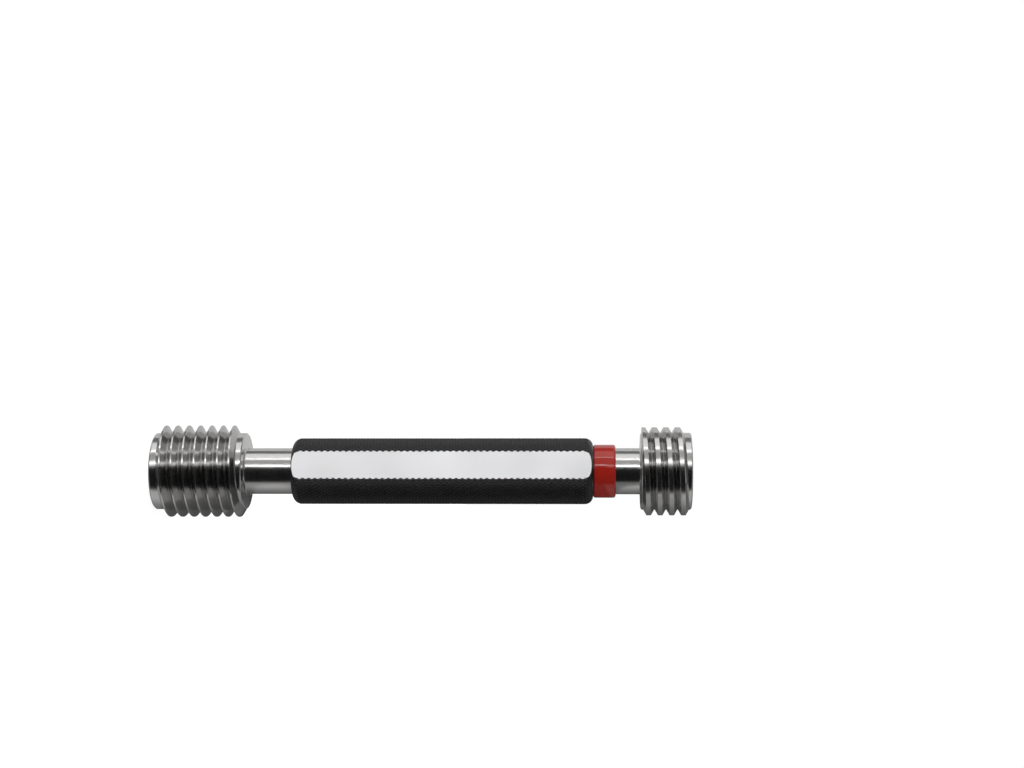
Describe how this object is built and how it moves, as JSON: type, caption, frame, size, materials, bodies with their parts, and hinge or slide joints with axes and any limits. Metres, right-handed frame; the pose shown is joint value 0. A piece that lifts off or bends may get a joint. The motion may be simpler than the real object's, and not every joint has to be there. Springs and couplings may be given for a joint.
{
  "type": "thread plug gauge",
  "caption": "Double-ended thread plug gauge: a long GO head and a short NO-GO head on necks in a knurled black handle with bright flats, a red ring marking the NO-GO end.",
  "frame": {"origin": "centre of the GO head's end face, on the gauge's axis", "axes": "+Z along the gauge's axis from the GO head up to the NO-GO head, -Y out of the front flat of the handle"},
  "size_m": [0.024, 0.024, 0.14],
  "materials": {
    "gauge_steel": "hardened tool steel, ground and polished",
    "handle": "black anodised diamond knurl with bright milled flats",
    "red_ring": "glossy red"
  },
  "bodies": {
    "root": {"go_member": "gauge_steel", "no_go_member": "gauge_steel", "handle": "handle", "red_ring": "red_ring"}
  },
  "joints": []
}
